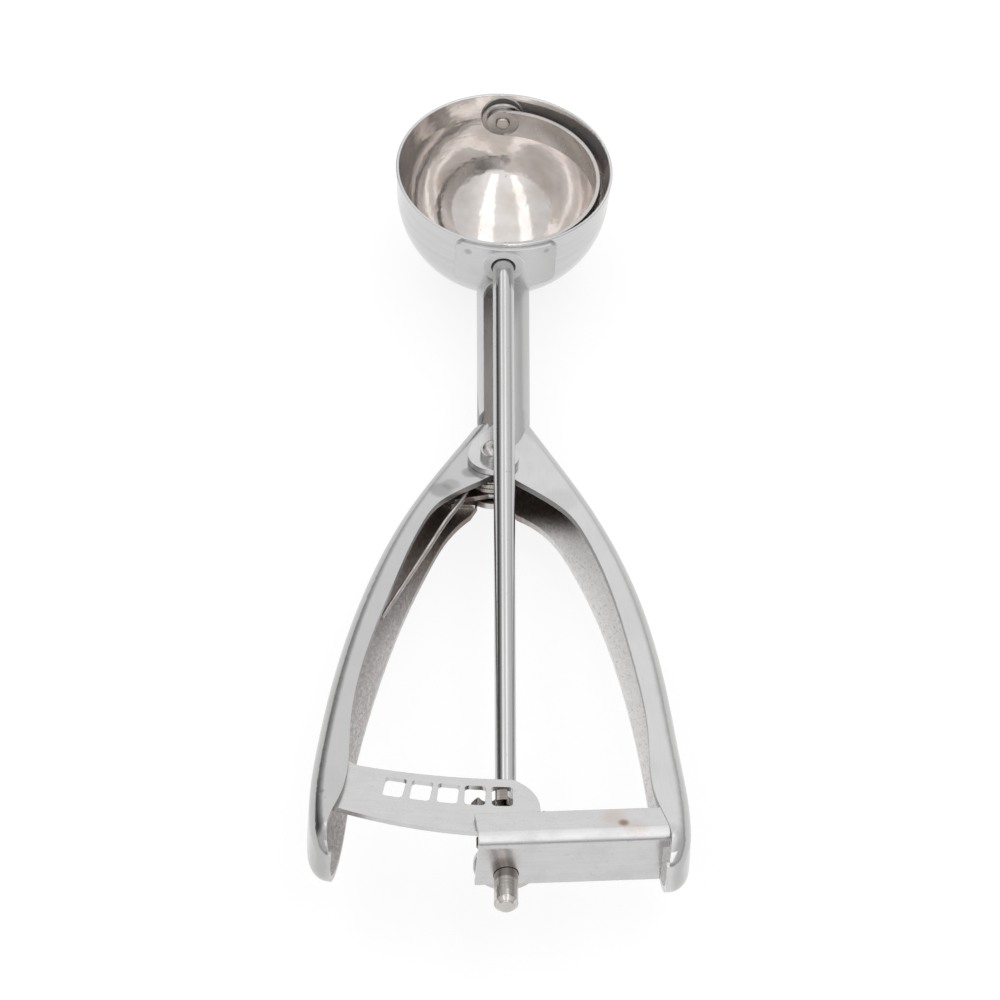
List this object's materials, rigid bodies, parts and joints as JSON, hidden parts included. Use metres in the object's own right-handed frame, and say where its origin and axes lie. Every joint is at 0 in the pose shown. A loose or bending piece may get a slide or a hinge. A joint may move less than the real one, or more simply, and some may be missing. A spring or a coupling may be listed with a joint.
{
  "type": "lever ice cream scoop",
  "caption": "Squeeze-handle ice cream scoop: a lever with an arc rack turns a star pinion, whose shaft sweeps a scraper round the inside of a hemispherical bowl.",
  "frame": {"origin": "centre of the bowl's sphere, on the shaft's axis, level with the foot of the bowl's flared wall", "axes": "+Y along the shaft from the handles' end towards the bowl, +Z out of the bowl's mouth, +X towards the fixed handle's side"},
  "size_m": [0.0711, 0.2117, 0.0299],
  "materials": {
    "polished_steel": "polished stainless sheet",
    "rod_steel": "drawn and polished stainless rod",
    "satin_steel": "satin stainless strip",
    "rivet_steel": "headed stainless rivet",
    "spring_steel": "drawn spring wire"
  },
  "bodies": {
    "frame": {"fixed_handle": "polished_steel", "bowl": "polished_steel", "gear_housing": "satin_steel", "pivot_rivet": "rivet_steel", "pivot_bush": "satin_steel", "scraper_pin": "rivet_steel", "far_washer": "satin_steel", "near_washer": "satin_steel", "return_spring": "spring_steel"},
    "lever": {"lever_handle": "polished_steel", "rack": "satin_steel"},
    "sweep": {"shaft": "rod_steel", "pinion": "rod_steel", "thrust_washer": "satin_steel", "scraper": "satin_steel"}
  },
  "joints": [
    {"name": "lever_pivot", "type": "hinge", "parent": "frame", "child": "lever", "pos_m": [-0.00175, -0.067, -0.0059], "axis": [0, 0.1374, 0.9905], "range_deg": [0, 11.29], "stiffness_Nm_per_rad": 1.5, "springref_deg": -20.05, "deforming": ["return_spring"]},
    {"name": "shaft_turn", "type": "hinge", "parent": "frame", "child": "sweep", "pos_m": [0, 0, 0], "axis": [0, 1, 0], "range_deg": [0, 180]}
  ],
  "couplings": [
    {"joint": "shaft_turn", "follows": "lever_pivot", "ratio": 15.941}
  ]
}
